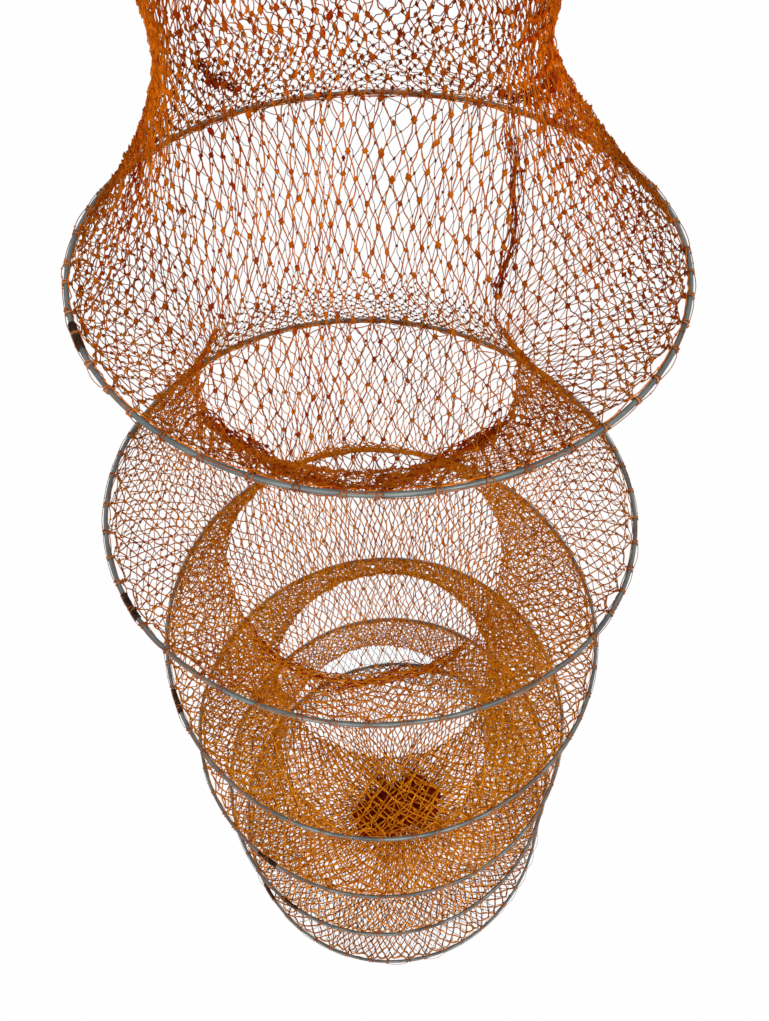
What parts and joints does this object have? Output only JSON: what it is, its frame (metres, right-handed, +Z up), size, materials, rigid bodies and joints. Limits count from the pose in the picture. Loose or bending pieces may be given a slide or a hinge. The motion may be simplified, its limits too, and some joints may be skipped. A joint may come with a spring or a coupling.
{
  "type": "hanging keepnet with wire hoops",
  "caption": "Long tube of orange knotted netting laced to round wire hoops, drawn in between them and gathered shut at the bottom, for keeping a catch in the water.",
  "frame": {"origin": "centre of the mouth hoop, from which the net hangs", "axes": "+Z up, along the net towards the mouth; -Y towards the side from which it is looked at; +X to the right"},
  "size_m": [0.4229, 0.4154, 1.2146],
  "materials": {
    "wire": "dull galvanised",
    "joint_wrap": "dark bound twine, matt",
    "netting": "knotted twine, matt",
    "bunched_netting": "gathered twine, matt",
    "cord": "laid cord, matt"
  },
  "bodies": {
    "root": {"hoop_mouth": "wire", "sleeve_mouth": "joint_wrap", "hoop_1": "wire", "sleeve_1": "joint_wrap", "hoop_2": "wire", "sleeve_2": "joint_wrap", "hoop_3": "wire", "sleeve_3": "joint_wrap", "hoop_4": "wire", "sleeve_4": "joint_wrap", "hoop_5": "wire", "sleeve_5": "joint_wrap", "hoop_6": "wire", "sleeve_6": "joint_wrap", "net_0_upper": "netting", "net_0_lower": "netting", "net_1_upper": "netting", "net_1_lower": "netting", "net_2_upper": "netting", "net_2_lower": "netting", "net_3_upper": "netting", "net_3_lower": "netting", "net_4_upper": "netting", "net_4_lower": "netting", "net_5_upper": "netting", "net_5_lower": "netting", "net_bottom": "netting", "bottom_gather": "bunched_netting", "bottom_tie": "cord"}
  },
  "joints": []
}
